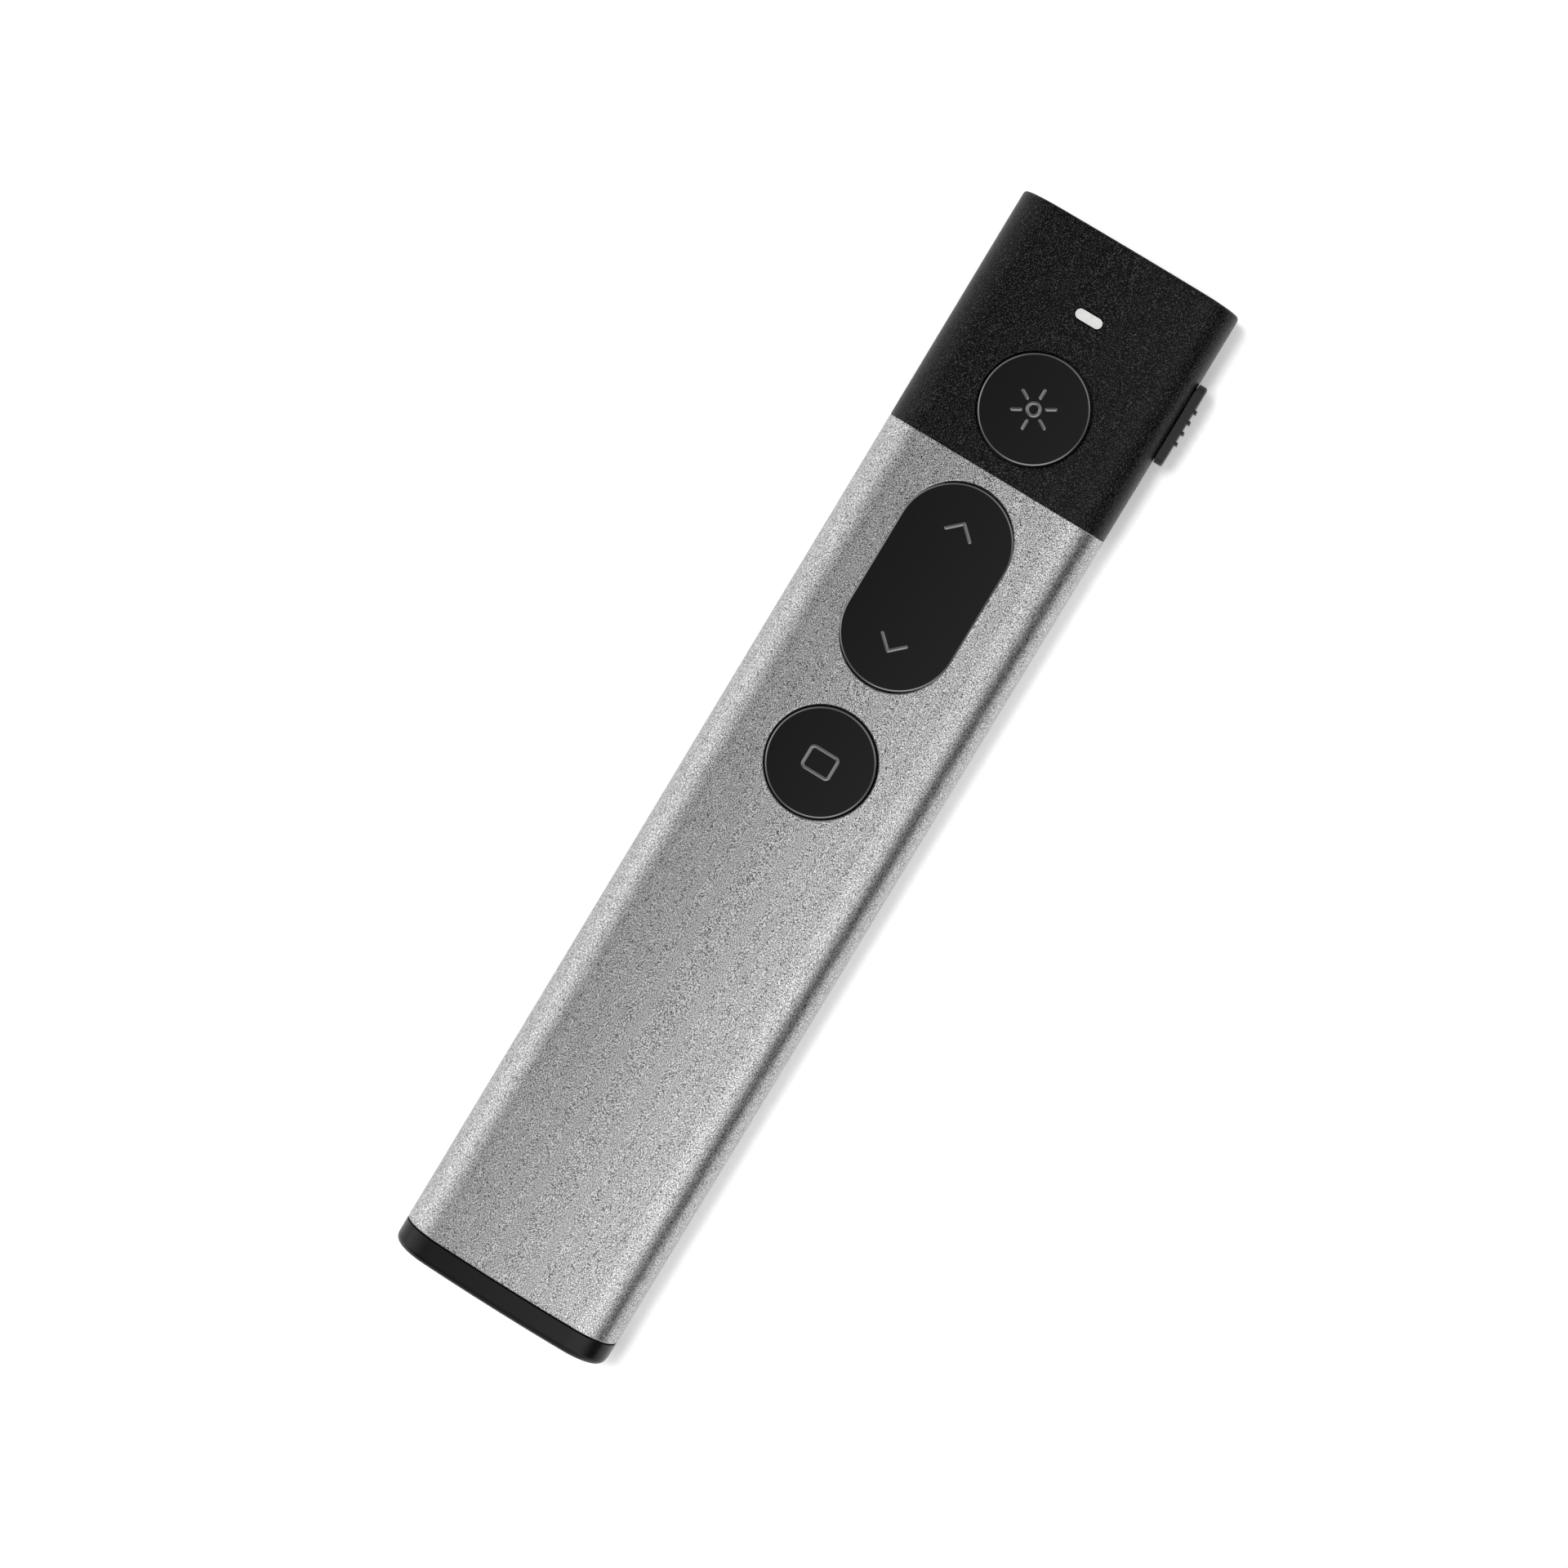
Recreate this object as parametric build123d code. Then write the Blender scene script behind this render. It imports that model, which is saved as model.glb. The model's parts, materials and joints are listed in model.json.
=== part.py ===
from build123d import *
from math import sqrt
import os

# Wireless presentation clicker: an extruded aluminium sleeve over a plastic chassis, a moulded
# nose with the laser and the power slider, and a pull-out USB receiver that closes the tail.
#
# Millimetres. +X points to the nose, +Z up through the keys, and the power slider is on the
# -Y side. The origin is the centre of the flat underside.

# ------------------------------------------------------------------ driving dimensions
# Outside form
body_width = 27.0
body_thickness = 11.0
crown_radius = 90.0
top_corner_radius = 5.0
bottom_corner_radius = 4.0
nose_length = 28.1
sleeve_length = 103.3
cap_length = 2.9
least_radius = 0.4
TOLERANCE = 0.01

# How far a form runs into what it joins, and past what it cuts
merge = 0.2
overrun = 1.0

# Walls and fits
sleeve_wall = 1.0
nose_wall = 1.4
chassis_wall = 0.9
slip_fit = 0.15
loose_fit = 0.3
snug_fit = 0.08
shaft_fit = 0.03

# Edges
sleeve_edge_break = 0.12
nose_edge_round = 0.35
cap_edge_round = 0.9

# Keys, and the gaps that set their places from the seam between sleeve and nose
key_diameter = 12.1
key_gap = 0.22
key_proud = 0.3
key_plate = 1.6
key_skirt_wall = 0.9
key_skirt_gap = 0.2
key_edge_round = 0.25
rocker_length = 24.1
seam_to_laser_key = 2.12
seam_to_rocker = 2.04
rocker_to_screen_key = 3.96
key_travel = 0.35
key_hole_break = 0.12
crown_edge_depth = 0.5

# Key legs, actuator bosses and rubber domes
boss_diameter = 3.4
boss_hole_diameter = 4.6
dome_height = 1.8
dome_wall = 0.45
dome_top_diameter = 3.4
dome_cone_diameter = 5.0
dome_base_diameter = 6.0
dome_base_thickness = 0.3
rocker_dome_from_end = 3.975
leg_width = 2.4
leg_thickness = 0.8
leg_offset = 4.6
barb_reach = 0.4
barb_height = 0.5
barb_clearance = 0.05
pivot_radius = 0.6
pivot_rise = 0.1
pivot_length = 1.5
pivot_block_length = 3.2
pivot_block_width = 1.8
pivot_cover = 0.4

# Key frame and circuit board, stacked down from the crown
frame_depth = 2.7
frame_thickness = 0.9
frame_to_board = 1.6
board_thickness = 0.8
board_edge_gap = 0.4
collar_wall = 0.7
collar_gap = 0.1
frame_rear_margin = 3.0
ledge_reach = 0.6
ledge_height = 0.8

# Chassis screws
screw_diameter = 1.4
screw_head_diameter = 2.2
screw_head_height = 0.7
screw_grip = 1.8
screw_post_diameter = 3.0
screw_spread = 15.2
screw_behind_key = 4.1
screw_from_seam = 3.4

# Nose register lip
lip_length = 0.9
lip_overlap = 1.0
lip_wall = 0.8
lip_gap = 0.2
nose_rib_width = 1.0
nose_rib_spacing = 14.0

# Status light
led_from_seam = 19.48
led_pill_width = 1.16
led_pill_length = 3.2
led_pocket_break = 0.2
led_recess = 0.15
led_hole_gap = 0.12
led_offset = 4.6
led_size = (0.8, 1.6, 0.6)
light_pipe_gap = 0.4
light_pipe_foot = 1.6
light_pipe_arm = 0.8

# Laser
barrel_diameter = 5.6
barrel_rear_gap = 1.22
barrel_wall = 0.7
barrel_front_gap = 0.6
barrel_seat_length = 4.6
barrel_seat_wall = 1.1
diode_flange_diameter = 4.9
diode_flange_thickness = 1.0
diode_can_diameter = 3.6
diode_can_length = 2.4
diode_pin_diameter = 0.4
diode_pin_spacing = 1.8
diode_pin_length = 3.6
board_to_diode = 1.6
board_to_barrel = 0.8
lens_thickness = 1.6
lens_setback = 1.2
lens_curve_radius = 3.4
aperture_diameter = 3.4
window_diameter = 5.4
window_thickness = 0.8
window_recess = 0.1

# Power slider
knob_from_seam = 15.03
knob_length = 9.7
knob_height = 3.6
knob_rise = 0.75
knob_reach = 1.1
knob_corner_radius = 0.9
knob_edge_break = 0.2
rib_count = 4
rib_pitch = 1.32
rib_width = 0.36
rib_height = 0.3
slider_travel = 2.0
stem_length = 3.4
stem_height = 1.8
stem_depth = 2.0
stem_pocket_floor = 0.4
lever_length = 1.4
lever_height = 1.0
lever_tip_setback = 0.8
lever_foot_length = 2.6
lever_foot_height = 1.5
lever_foot_depth = 1.0
switch_length = 8.0
switch_depth = 3.2
switch_height = 2.6
switch_wall = 0.3
switch_wall_gap = 1.2

# Pull-out receiver
cap_seam = 0.1
neck_length = 4.6
neck_gap = 0.3
plug_drop = 0.3
plug_width = 12.0
plug_height = 4.5
plug_sheet = 0.3
plug_reach = 13.4
plug_embed = 4.0
plug_window = 2.2
plug_window_spacing = 5.4
plug_window_from_tip = 5.2
tongue_thickness = 1.9
tongue_side_gap = 0.1
tongue_setback = 0.4
tongue_embed = 0.5
contact_count = 4
contact_pitch = 2.25
contact_width = 1.0
contact_thickness = 0.15
contact_length = 7.5
contact_from_tip = 1.4
receiver_board_thickness = 0.8
receiver_board_length = 4.2
receiver_pocket_depth = 2.0
receiver_chip_size = (3.0, 3.0, 0.7)

# Tail dock and charging port
bulkhead_gap = 0.4
bulkhead_thickness = 2.0
plug_fit = 0.1
tunnel_wall = 0.6
tunnel_end_wall = 0.8
port_width = 8.94
port_height = 3.26
port_length = 7.35
port_sheet = 0.3
port_inset = 0.2
port_base_length = 1.2
port_tongue_width = 6.7
port_tongue_thickness = 0.7
port_tongue_length = 5.6

# Battery and chips
battery_width = 17.6
battery_thickness = 3.2
battery_edge_round = 0.9
battery_from_board = 0.3
battery_terrace_length = 3.0
battery_terrace_thickness = 0.9
battery_frame_gap = 0.3
battery_dock_gap = 1.6
pad_margin = 2.0
lead_width = 2.4
lead_thickness = 0.2
lead_spacing = 8.0
lead_run = 1.4
lead_bend = 0.5
radio_chip_size = (5.0, 5.0, 0.85)
crystal_size = (3.2, 2.5, 0.7)
charging_chip_size = (3.0, 3.0, 0.9)
chip_spacing = 7.0
chip_from_port = 4.0

# ------------------------------------------------------------------ stations and levels
total_length = nose_length + sleeve_length + cap_length
nose_end = total_length / 2
nose_seam = nose_end - nose_length
tail_seam = nose_seam - sleeve_length
tail_end = tail_seam - cap_length

laser_key_x = nose_seam + seam_to_laser_key + key_diameter / 2
rocker_x = nose_seam - seam_to_rocker - rocker_length / 2
rocker_dome_offset = rocker_length / 2 - rocker_dome_from_end
screen_key_x = rocker_x - rocker_length / 2 - rocker_to_screen_key - key_diameter / 2
led_x = nose_seam + led_from_seam
knob_x = nose_seam + knob_from_seam

key_hole_diameter = key_diameter + 2 * key_gap
rocker_hole_length = rocker_length + 2 * key_gap

frame_top = body_thickness - frame_depth
frame_bottom = frame_top - frame_thickness
board_top = frame_bottom - frame_to_board
board_bottom = board_top - board_thickness
boss_bottom = board_top + dome_height
skirt_bottom = frame_top + key_travel + key_skirt_gap
key_ceiling = body_thickness + key_proud - key_plate
pivot_z = frame_bottom + pivot_rise

chassis_inset = sleeve_wall + slip_fit
front_inset = sleeve_wall + snug_fit + lip_wall + lip_gap
front_step_x = nose_seam - lip_length - loose_fit
board_half_width = body_width / 2 - front_inset - chassis_wall - board_edge_gap
collar_reach = key_diameter / 2 + key_gap + collar_gap + collar_wall
rear_screw_x = screen_key_x - key_diameter / 2 - screw_behind_key
middle_screw_x = screen_key_x + key_diameter / 2 + rocker_to_screen_key / 2
front_screw_x = nose_seam + screw_from_seam
frame_front_x = laser_key_x + collar_reach
frame_rear_x = rear_screw_x - frame_rear_margin
screw_places = [
    (x, side * screw_spread / 2)
    for x in (rear_screw_x, middle_screw_x, front_screw_x)
    for side in (-1, 1)
]

pipe_arm_top = body_thickness - nose_wall - light_pipe_gap
pipe_arm_bottom = pipe_arm_top - light_pipe_arm
laser_z = (nose_wall + pipe_arm_bottom) / 2
barrel_bore = barrel_diameter - 2 * barrel_wall
barrel_front_x = nose_end - window_thickness - window_recess - 2 * barrel_front_gap
barrel_rear_x = frame_front_x + barrel_rear_gap
front_wall_x = barrel_front_x + barrel_front_gap / 2
barrel_seat_x = front_wall_x - barrel_seat_length

neck_front_x = tail_seam + neck_length
bulkhead_x = neck_front_x + bulkhead_gap
plug_tip_x = neck_front_x + plug_reach
tongue_rear_x = neck_front_x - tongue_embed
tunnel_end_x = plug_tip_x + bulkhead_gap
dock_front_x = tunnel_end_x + tunnel_end_wall
plug_z = body_thickness / 2 - plug_drop
slot_half_width = plug_width / 2 + plug_fit
plug_y = body_width / 2 - chassis_inset - chassis_wall - loose_fit - tunnel_wall - slot_half_width
slot_half_height = plug_height / 2 + plug_fit
tunnel_near_y = plug_y - slot_half_width - tunnel_wall
port_y = tunnel_near_y - slip_fit - port_width / 2
port_front_x = bulkhead_x + port_inset
port_rear_x = port_front_x + port_length

battery_front_x = frame_rear_x - battery_frame_gap - lead_thickness / 2 - lead_run - battery_terrace_length
battery_rear_x = dock_front_x + battery_dock_gap
battery_bottom = board_top + battery_from_board

switch_y = -(body_width / 2 - nose_wall - switch_wall_gap)
switch_x = knob_x + slider_travel / 2
switch_top = board_bottom
lever_z = switch_top - switch_height / 2
knob_z = lever_z + knob_rise
board_tongue_y = -(barrel_diameter / 2 + board_to_barrel)
board_step_x = barrel_rear_x - board_to_diode - loose_fit
board_front_x = barrel_seat_x - loose_fit


# ------------------------------------------------------------------ shared forms
def block(x, y, z):
    """Box between a (low, high) pair on each axis."""
    spans = (x, y, z)
    middle = [(low + high) / 2 for low, high in spans]
    return Pos(*middle) * Box(*[high - low for low, high in spans])


def around(middle, size):
    """The (low, high) pair of a size centred on a place."""
    return (middle - size / 2, middle + size / 2)


def layer(low, high):
    """Everything between two heights."""
    return block((tail_end - overrun, nose_end + overrun), (-body_width, body_width), (low, high))


def across(x):
    """Plane across the body at station x: its own x runs along +Y and its own y along +Z."""
    return Plane(origin=(x, 0, 0), x_dir=(0, 1, 0), z_dir=(1, 0, 0))


def outline(inset):
    """The body's outline, offset inwards: flat underside, crowned top and rounded corners."""
    width = body_width - 2 * inset
    height = body_thickness - 2 * inset
    shape = Pos(0, body_thickness / 2) * Rectangle(width, height)
    shape = shape & (Pos(0, body_thickness - crown_radius) * Circle(crown_radius - inset))
    lower = shape.vertices().sort_by(Axis.Y)[:2]
    shape = fillet(lower, max(bottom_corner_radius - inset, least_radius))
    upper = shape.vertices().sort_by(Axis.Y)[-2:]
    return fillet(upper, max(top_corner_radius - inset, least_radius))


def bar(start, end, inset=0.0):
    """The body's outline, offset inwards and run from one station to another."""
    return extrude(across(start) * outline(inset), amount=end - start)


def tube(start, end, inset, wall):
    """A hollow bar with the given wall."""
    return bar(start, end, inset) - bar(start, end, inset + wall)


def rod(start, end, diameter, y=0.0, z=0.0):
    """Cylinder along X."""
    return extrude(across(start) * Pos(y, z) * Circle(diameter / 2), amount=end - start)


def post(x, y, diameter, low, high):
    """Cylinder along Z."""
    return Pos(x, y, (low + high) / 2) * Cylinder(diameter / 2, high - low)


def pad(x, length, diameter, low, high, rotation=0):
    """Upright pad with a round or a pill outline."""
    shape = Circle(diameter / 2)
    if length > diameter:
        shape = SlotOverall(length, diameter, rotation=rotation)
    return extrude(Pos(x, 0, low) * shape, amount=high - low)


def crown_edges(part):
    """Edges of a part that lie in or near the crown."""
    return [edge for edge in part.edges() if edge.bounding_box().min.Z > body_thickness - crown_edge_depth]


def end_rim(part, x):
    """The outer edges of the flat end that a part has at station x."""
    ends = part.faces().filter_by(Axis.X).filter_by_position(Axis.X, x - TOLERANCE, x + TOLERANCE)
    return ends.sort_by(SortBy.AREA)[-1].outer_wire().edges()


def hole_rim(part, x, length, width):
    """The outer edges of a hole in the crown."""
    reach_x = length / 2 + TOLERANCE
    reach_y = width / 2 + TOLERANCE
    rim = []
    for edge in crown_edges(part):
        box = edge.bounding_box()
        within_x = box.min.X > x - reach_x and box.max.X < x + reach_x
        within_y = box.min.Y > -reach_y and box.max.Y < reach_y
        if within_x and within_y:
            rim.append(edge)
    return rim


# ------------------------------------------------------------------ outer shells
def aluminium_sleeve():
    sleeve = tube(tail_seam, nose_seam, 0, sleeve_wall)
    for x in (tail_seam, nose_seam):
        sleeve = chamfer(end_rim(sleeve, x), sleeve_edge_break)
    for x, length in ((screen_key_x, key_hole_diameter), (rocker_x, rocker_hole_length)):
        sleeve -= pad(x, length, key_hole_diameter, body_thickness / 2, body_thickness + overrun)
        sleeve = chamfer(hole_rim(sleeve, x, length, key_hole_diameter), key_hole_break)
    return sleeve


def nose_housing():
    """Moulded nose: a register lip, the barrel's seat, ribs under the chassis and its openings."""
    shell = bar(nose_seam, nose_end)
    shell = fillet(end_rim(shell, nose_end), nose_edge_round)
    shell -= bar(nose_seam, front_wall_x, nose_wall)
    lip_inset = sleeve_wall + snug_fit
    shell += tube(nose_seam - lip_length, nose_seam + lip_overlap, lip_inset, lip_wall)
    seat_diameter = barrel_diameter + 2 * barrel_seat_wall
    shell += rod(barrel_seat_x, front_wall_x + merge, seat_diameter, z=laser_z)
    shell -= rod(barrel_seat_x, front_wall_x, barrel_diameter + 2 * shaft_fit, z=laser_z)
    shell -= rod(barrel_seat_x, nose_end + overrun, aperture_diameter, z=laser_z)
    shell -= rod(nose_end - window_thickness - window_recess, nose_end + overrun,
                 window_diameter + 2 * shaft_fit, z=laser_z)
    for side in (-1, 1):
        y = around(side * nose_rib_spacing / 2, nose_rib_width)
        shell += block((nose_seam + lip_overlap, frame_front_x), y,
                       (nose_wall - merge, front_inset - snug_fit))
    high = body_thickness + overrun
    shell -= pad(laser_key_x, key_hole_diameter, key_hole_diameter, body_thickness / 2, high)
    shell = chamfer(hole_rim(shell, laser_key_x, key_hole_diameter, key_hole_diameter), key_hole_break)
    long_way = led_pill_length + 2 * led_hole_gap
    short_way = led_pill_width + 2 * led_hole_gap
    shell -= pad(led_x, long_way, short_way, body_thickness / 2, high, rotation=90)
    shell = chamfer(hole_rim(shell, led_x, short_way, long_way), led_pocket_break)
    slot_length = stem_length + slider_travel + 2 * loose_fit
    slot_x = around(switch_x, slot_length)
    slot_z = around(lever_z, stem_height + 2 * slip_fit)
    return shell - block(slot_x, (-body_width, -body_width / 4), slot_z)


# ------------------------------------------------------------------ laser and status light
def laser_window():
    return rod(nose_end - window_recess - window_thickness, nose_end - window_recess,
               window_diameter, z=laser_z)


def laser_barrel():
    barrel = rod(barrel_rear_x, barrel_front_x, barrel_diameter, z=laser_z)
    barrel -= rod(barrel_rear_x, barrel_front_x, barrel_bore, z=laser_z)
    seat = diode_flange_diameter + 2 * shaft_fit
    return barrel - rod(barrel_rear_x, barrel_rear_x + diode_flange_thickness, seat, z=laser_z)


def laser_lens():
    """Plano-convex collimating lens held in the barrel's bore."""
    front = barrel_front_x - lens_setback
    rear = front - lens_thickness
    rim = barrel_bore / 2 - shaft_fit
    rim_sag = lens_curve_radius - sqrt(lens_curve_radius ** 2 - rim ** 2)
    half_sag = lens_curve_radius - sqrt(lens_curve_radius ** 2 - rim ** 2 / 4)
    flat_sides = Polyline((front, 0), (rear, 0), (rear, rim), (front - rim_sag, rim))
    curved_side = ThreePointArc((front - rim_sag, rim), (front - half_sag, rim / 2), (front, 0))
    profile = Plane.XZ * make_face(flat_sides + curved_side)
    return Pos(0, 0, laser_z) * revolve(profile, Axis.X)


def laser_diode():
    flange_front = barrel_rear_x + diode_flange_thickness
    diode = rod(barrel_rear_x, flange_front, diode_flange_diameter, z=laser_z)
    diode += rod(flange_front, flange_front + diode_can_length, diode_can_diameter, z=laser_z)
    pin_z = board_top + diode_pin_diameter / 2
    for side in (-1, 1):
        y = side * diode_pin_spacing / 2
        diode += rod(barrel_rear_x - diode_pin_length, barrel_rear_x, diode_pin_diameter, y, pin_z)
    return diode


def status_led():
    length, width, height = led_size
    return block(around(led_x, length), around(-led_offset, width), (board_top, board_top + height))


def led_light_pipe():
    """Lens in the crown, an arm over the laser barrel and a foot over the status LED."""
    foot_bottom = board_top + led_size[2] + light_pipe_gap
    far_y = -led_offset - light_pipe_foot / 2
    x = around(led_x, led_pill_width)
    pipe = block(x, (far_y, 0), (pipe_arm_bottom, pipe_arm_top))
    pipe += block(x, (far_y, far_y + light_pipe_foot), (foot_bottom, pipe_arm_top))
    lens = pad(led_x, led_pill_length, led_pill_width, pipe_arm_bottom, body_thickness, rotation=90)
    return pipe + (lens & bar(nose_seam, nose_end, led_recess))


# ------------------------------------------------------------------ keys
def key_cap(x, length):
    """Crowned cap with a skirt, open underneath."""
    cap = pad(x, length, key_diameter, skirt_bottom, body_thickness + overrun)
    cap = cap & bar(x - length, x + length, -key_proud)
    cap = fillet(crown_edges(cap), key_edge_round)
    wall = 2 * key_skirt_wall
    return cap - pad(x, length - wall, key_diameter - wall, skirt_bottom, key_ceiling)


def actuator(x):
    """Boss under a key that presses one rubber dome."""
    return post(x, 0, boss_diameter, boss_bottom, key_ceiling)


def round_key(x):
    """Key with two barbed legs that snap through the key frame."""
    key = key_cap(x, key_diameter) + actuator(x)
    leg_bottom = frame_bottom - barb_clearance - barb_height
    for side in (-1, 1):
        y = side * leg_offset
        key += block(around(x, leg_width), around(y, leg_thickness), (leg_bottom, key_ceiling))
        outer = sorted((y, side * (leg_offset + leg_thickness / 2 + barb_reach)))
        key += block(around(x, leg_width), outer, (leg_bottom, leg_bottom + barb_height))
    return key


def page_rocker():
    """See-saw key on two trunnions, with a boss over the dome at each end."""
    rocker = key_cap(rocker_x, rocker_length)
    for side in (-1, 1):
        rocker += actuator(rocker_x + side * rocker_dome_offset)
        y = side * leg_offset
        leg_bottom = pivot_z - pivot_radius - pivot_cover
        rocker += block(around(rocker_x, leg_width), around(y, leg_thickness), (leg_bottom, key_ceiling))
        tip = side * (leg_offset + leg_thickness / 2 + pivot_length)
        pin = Cylinder(pivot_radius, abs(tip - y), rotation=(90, 0, 0))
        rocker += Pos(rocker_x, (y + tip) / 2, pivot_z) * pin
    return rocker


def key_dome(x):
    """Rubber dome on the circuit board: a foot ring and a hollow cone."""
    top = dome_top_diameter / 2
    cone = dome_cone_diameter / 2
    foot = dome_base_diameter / 2
    inner_top = dome_height - 2 * dome_wall
    profile = Polyline(
        (0, inner_top), (top - dome_wall, inner_top), (cone - dome_wall, 0), (foot, 0),
        (foot, dome_base_thickness), (cone, dome_base_thickness), (top, dome_height),
        (0, dome_height), close=True,
    )
    return Pos(x, 0, board_top) * revolve(Plane.XZ * make_face(profile), Axis.Z)


# ------------------------------------------------------------------ key frame
def key_collar(x, length, room):
    """Guide ring around a key, trimmed to the room inside the shells."""
    inner = 2 * (key_gap + collar_gap)
    outer = inner + 2 * collar_wall
    low = frame_top - frame_thickness / 2
    ring = pad(x, length + outer, key_diameter + outer, low, body_thickness) & room
    return ring - pad(x, length + inner, key_diameter + inner, frame_top, body_thickness)


def key_frame():
    """Plate over the circuit board that holds and guides the keys."""
    plate = bar(frame_rear_x, front_step_x, chassis_inset) + bar(front_step_x, frame_front_x, front_inset)
    plate = plate & layer(frame_bottom, frame_top)
    lip_end_x = nose_seam + lip_overlap + slip_fit
    sleeve_room = bar(frame_rear_x, front_step_x, sleeve_wall + slip_fit)
    nose_room = bar(front_step_x, lip_end_x, front_inset) + bar(lip_end_x, nose_end, nose_wall + slip_fit)
    plate += key_collar(screen_key_x, key_diameter, sleeve_room)
    plate += key_collar(rocker_x, rocker_length, sleeve_room + nose_room)
    plate += key_collar(laser_key_x, key_diameter, sleeve_room + nose_room)
    inside_tray = bar(frame_rear_x, frame_front_x, front_inset + chassis_wall + snug_fit)
    for x, y in screw_places:
        plate += post(x, y, screw_post_diameter, board_top, frame_bottom) & inside_tray
        plate -= post(x, y, screw_diameter + 2 * snug_fit, board_top, frame_top + overrun)
    plate -= key_openings()
    plate += rocker_bearings()
    near = leg_offset + leg_thickness / 2 + slip_fit
    hole = Cylinder(pivot_radius + shaft_fit, 2 * (near + pivot_block_width), rotation=(90, 0, 0))
    return plate - Pos(rocker_x, 0, pivot_z) * hole


def key_openings():
    """Holes in the key frame for the bosses and legs of the keys."""
    low = frame_bottom - overrun
    high = frame_top + TOLERANCE
    leg_x = leg_width + 2 * slip_fit
    leg_y = leg_thickness + 2 * slip_fit
    dome_places = [screen_key_x, laser_key_x, rocker_x - rocker_dome_offset, rocker_x + rocker_dome_offset]
    openings = [post(x, 0, boss_hole_diameter, low, high) for x in dome_places]
    for x in (screen_key_x, laser_key_x):
        for side in (-1, 1):
            openings.append(block(around(x, leg_x), around(side * leg_offset, leg_y), (low, high)))
    waist = 2 * (leg_offset + leg_thickness / 2 + slip_fit)
    openings.append(block(around(rocker_x, leg_x + 2 * loose_fit), around(0, waist), (low, high)))
    return Part() + openings


def rocker_bearings():
    """Two bearing blocks beside the rocker's legs, one for each trunnion."""
    near = leg_offset + leg_thickness / 2 + slip_fit
    low = pivot_z - pivot_radius - pivot_cover
    high = pivot_z + pivot_radius + pivot_cover
    bearings = Part()
    for side in (-1, 1):
        y = sorted((side * near, side * (near + pivot_block_width)))
        bearings += block(around(rocker_x, pivot_block_length), y, (low, high))
    return bearings


# ------------------------------------------------------------------ chassis and electronics
def lower_chassis():
    """Tray under the circuit board, with screw posts, board ledges and cut-outs for its neighbours."""
    rear = bulkhead_x + bulkhead_thickness
    step_wall = front_inset + chassis_wall - chassis_inset
    tray = tube(rear, front_step_x, chassis_inset, chassis_wall)
    tray += tube(front_step_x, frame_front_x, front_inset, chassis_wall)
    tray += tube(front_step_x - chassis_wall, front_step_x, chassis_inset, step_wall)
    tray = tray & layer(0, frame_bottom - snug_fit)
    tray -= block((rear - overrun, dock_front_x + loose_fit), (-body_width, body_width),
                  (board_bottom, body_thickness))
    tray -= block((switch_x - switch_length / 2 - loose_fit, nose_end),
                  (-body_width, switch_y + switch_depth + loose_fit), (0, body_thickness))
    tray -= port_tube(rear - overrun, port_rear_x + slip_fit, -snug_fit)
    for side in (-1, 1):
        ledge_y = sorted((side * (board_half_width - ledge_reach), side * body_width / 2))
        ledge = block((dock_front_x + loose_fit, front_step_x), ledge_y,
                      (board_bottom - ledge_height, board_bottom))
        tray += ledge & bar(dock_front_x, front_step_x, chassis_inset + chassis_wall / 2)
    for x, y in screw_places:
        floor = chassis_inset if x < front_step_x else front_inset
        tray += post(x, y, screw_post_diameter, floor + merge, board_bottom)
        tray -= post(x, y, screw_diameter + 2 * shaft_fit, floor + chassis_wall, board_bottom)
    return tray


def main_circuit_board():
    """Board along the whole chassis, cut back at the tail and narrowed beside the laser."""
    z = (board_bottom, board_top)
    full = board_half_width
    board = block((dock_front_x + loose_fit, board_step_x), (-full, full), z)
    board += block((port_rear_x + slip_fit, dock_front_x + overrun), (-full, tunnel_near_y - slip_fit), z)
    board += block((board_step_x - overrun, board_front_x), (-full, board_tongue_y), z)
    for x, y in screw_places:
        board -= post(x, y, screw_diameter + 2 * slip_fit, board_bottom - overrun, board_top + overrun)
    return board


def chassis_screws():
    """Screws that clamp the key frame and the board to the chassis."""
    screws = []
    for x, y in screw_places:
        shank = post(x, y, screw_diameter, board_bottom - screw_grip, frame_top)
        screws.append(shank + post(x, y, screw_head_diameter, frame_top, frame_top + screw_head_height))
    return Compound(children=screws)


def chip(x, y, size, on_top=True):
    """Flat chip on the upper or the lower face of the main circuit board."""
    length, width, height = size
    z = (board_top, board_top + height) if on_top else (board_bottom - height, board_bottom)
    return block(around(x, length), around(y, width), z)


def battery_pouch():
    """Soft-pack cell with its sealed terrace towards the nose."""
    x = (battery_rear_x, battery_front_x)
    z = (battery_bottom, battery_bottom + battery_thickness)
    cell = block(x, around(0, battery_width), z)
    cell = fillet(cell.edges().filter_by(Axis.X), battery_edge_round)
    terrace_x = (battery_front_x - overrun, battery_front_x + battery_terrace_length)
    terrace_z = around(battery_bottom + battery_thickness / 2, battery_terrace_thickness)
    return cell + block(terrace_x, around(0, battery_width - 2 * battery_edge_round), terrace_z)


def battery_foam_pad():
    x = (battery_rear_x + pad_margin, battery_front_x - pad_margin)
    return block(x, around(0, battery_width - 2 * pad_margin), (board_top, battery_bottom))


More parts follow.
